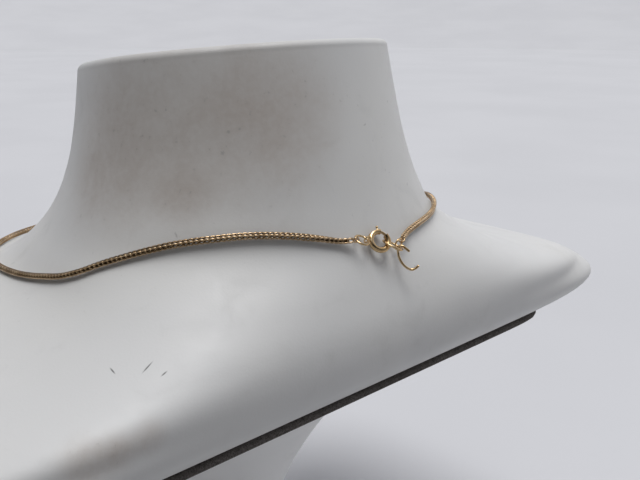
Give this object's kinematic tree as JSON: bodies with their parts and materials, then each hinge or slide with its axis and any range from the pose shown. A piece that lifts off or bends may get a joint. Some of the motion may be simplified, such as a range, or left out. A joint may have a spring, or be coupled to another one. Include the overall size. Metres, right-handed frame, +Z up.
{
  "type": "chain necklace on a neck bust",
  "caption": "Fine square gold chain necklace with a bolt ring clasp and an opened jump ring, lying round a plain white neck bust on a trumpet foot.",
  "frame": {"origin": "middle of the foot's underside, where it stands on the table", "axes": "+Z up, -Y towards the bust's front, +X towards the bust's left shoulder"},
  "size_m": [0.2818, 0.1748, 0.2443],
  "materials": {
    "gold": "polished gold, a little worn",
    "white_form": "satin white lacquer with faint scuffs",
    "dark_pad": "dark felt",
    "white_foot": "satin white lacquer"
  },
  "bodies": {
    "display": {"bust_form": "white_form", "bust_pad": "dark_pad", "bust_foot": "white_foot", "chain": "gold", "jump_ring": "gold", "bolt_ring": "gold", "catch_ring": "gold", "end_ring": "gold", "open_ring": "gold"},
    "bolt": {"bolt_slide": "gold"}
  },
  "joints": [
    {"name": "bolt_pull", "type": "hinge", "parent": "display", "child": "bolt", "pos_m": [-0.00046, 0.08002, 0.1898], "axis": [0.2045, 0.7909, 0.5767], "range_deg": [0, 44], "stiffness_Nm_per_rad": 0.0005}
  ]
}
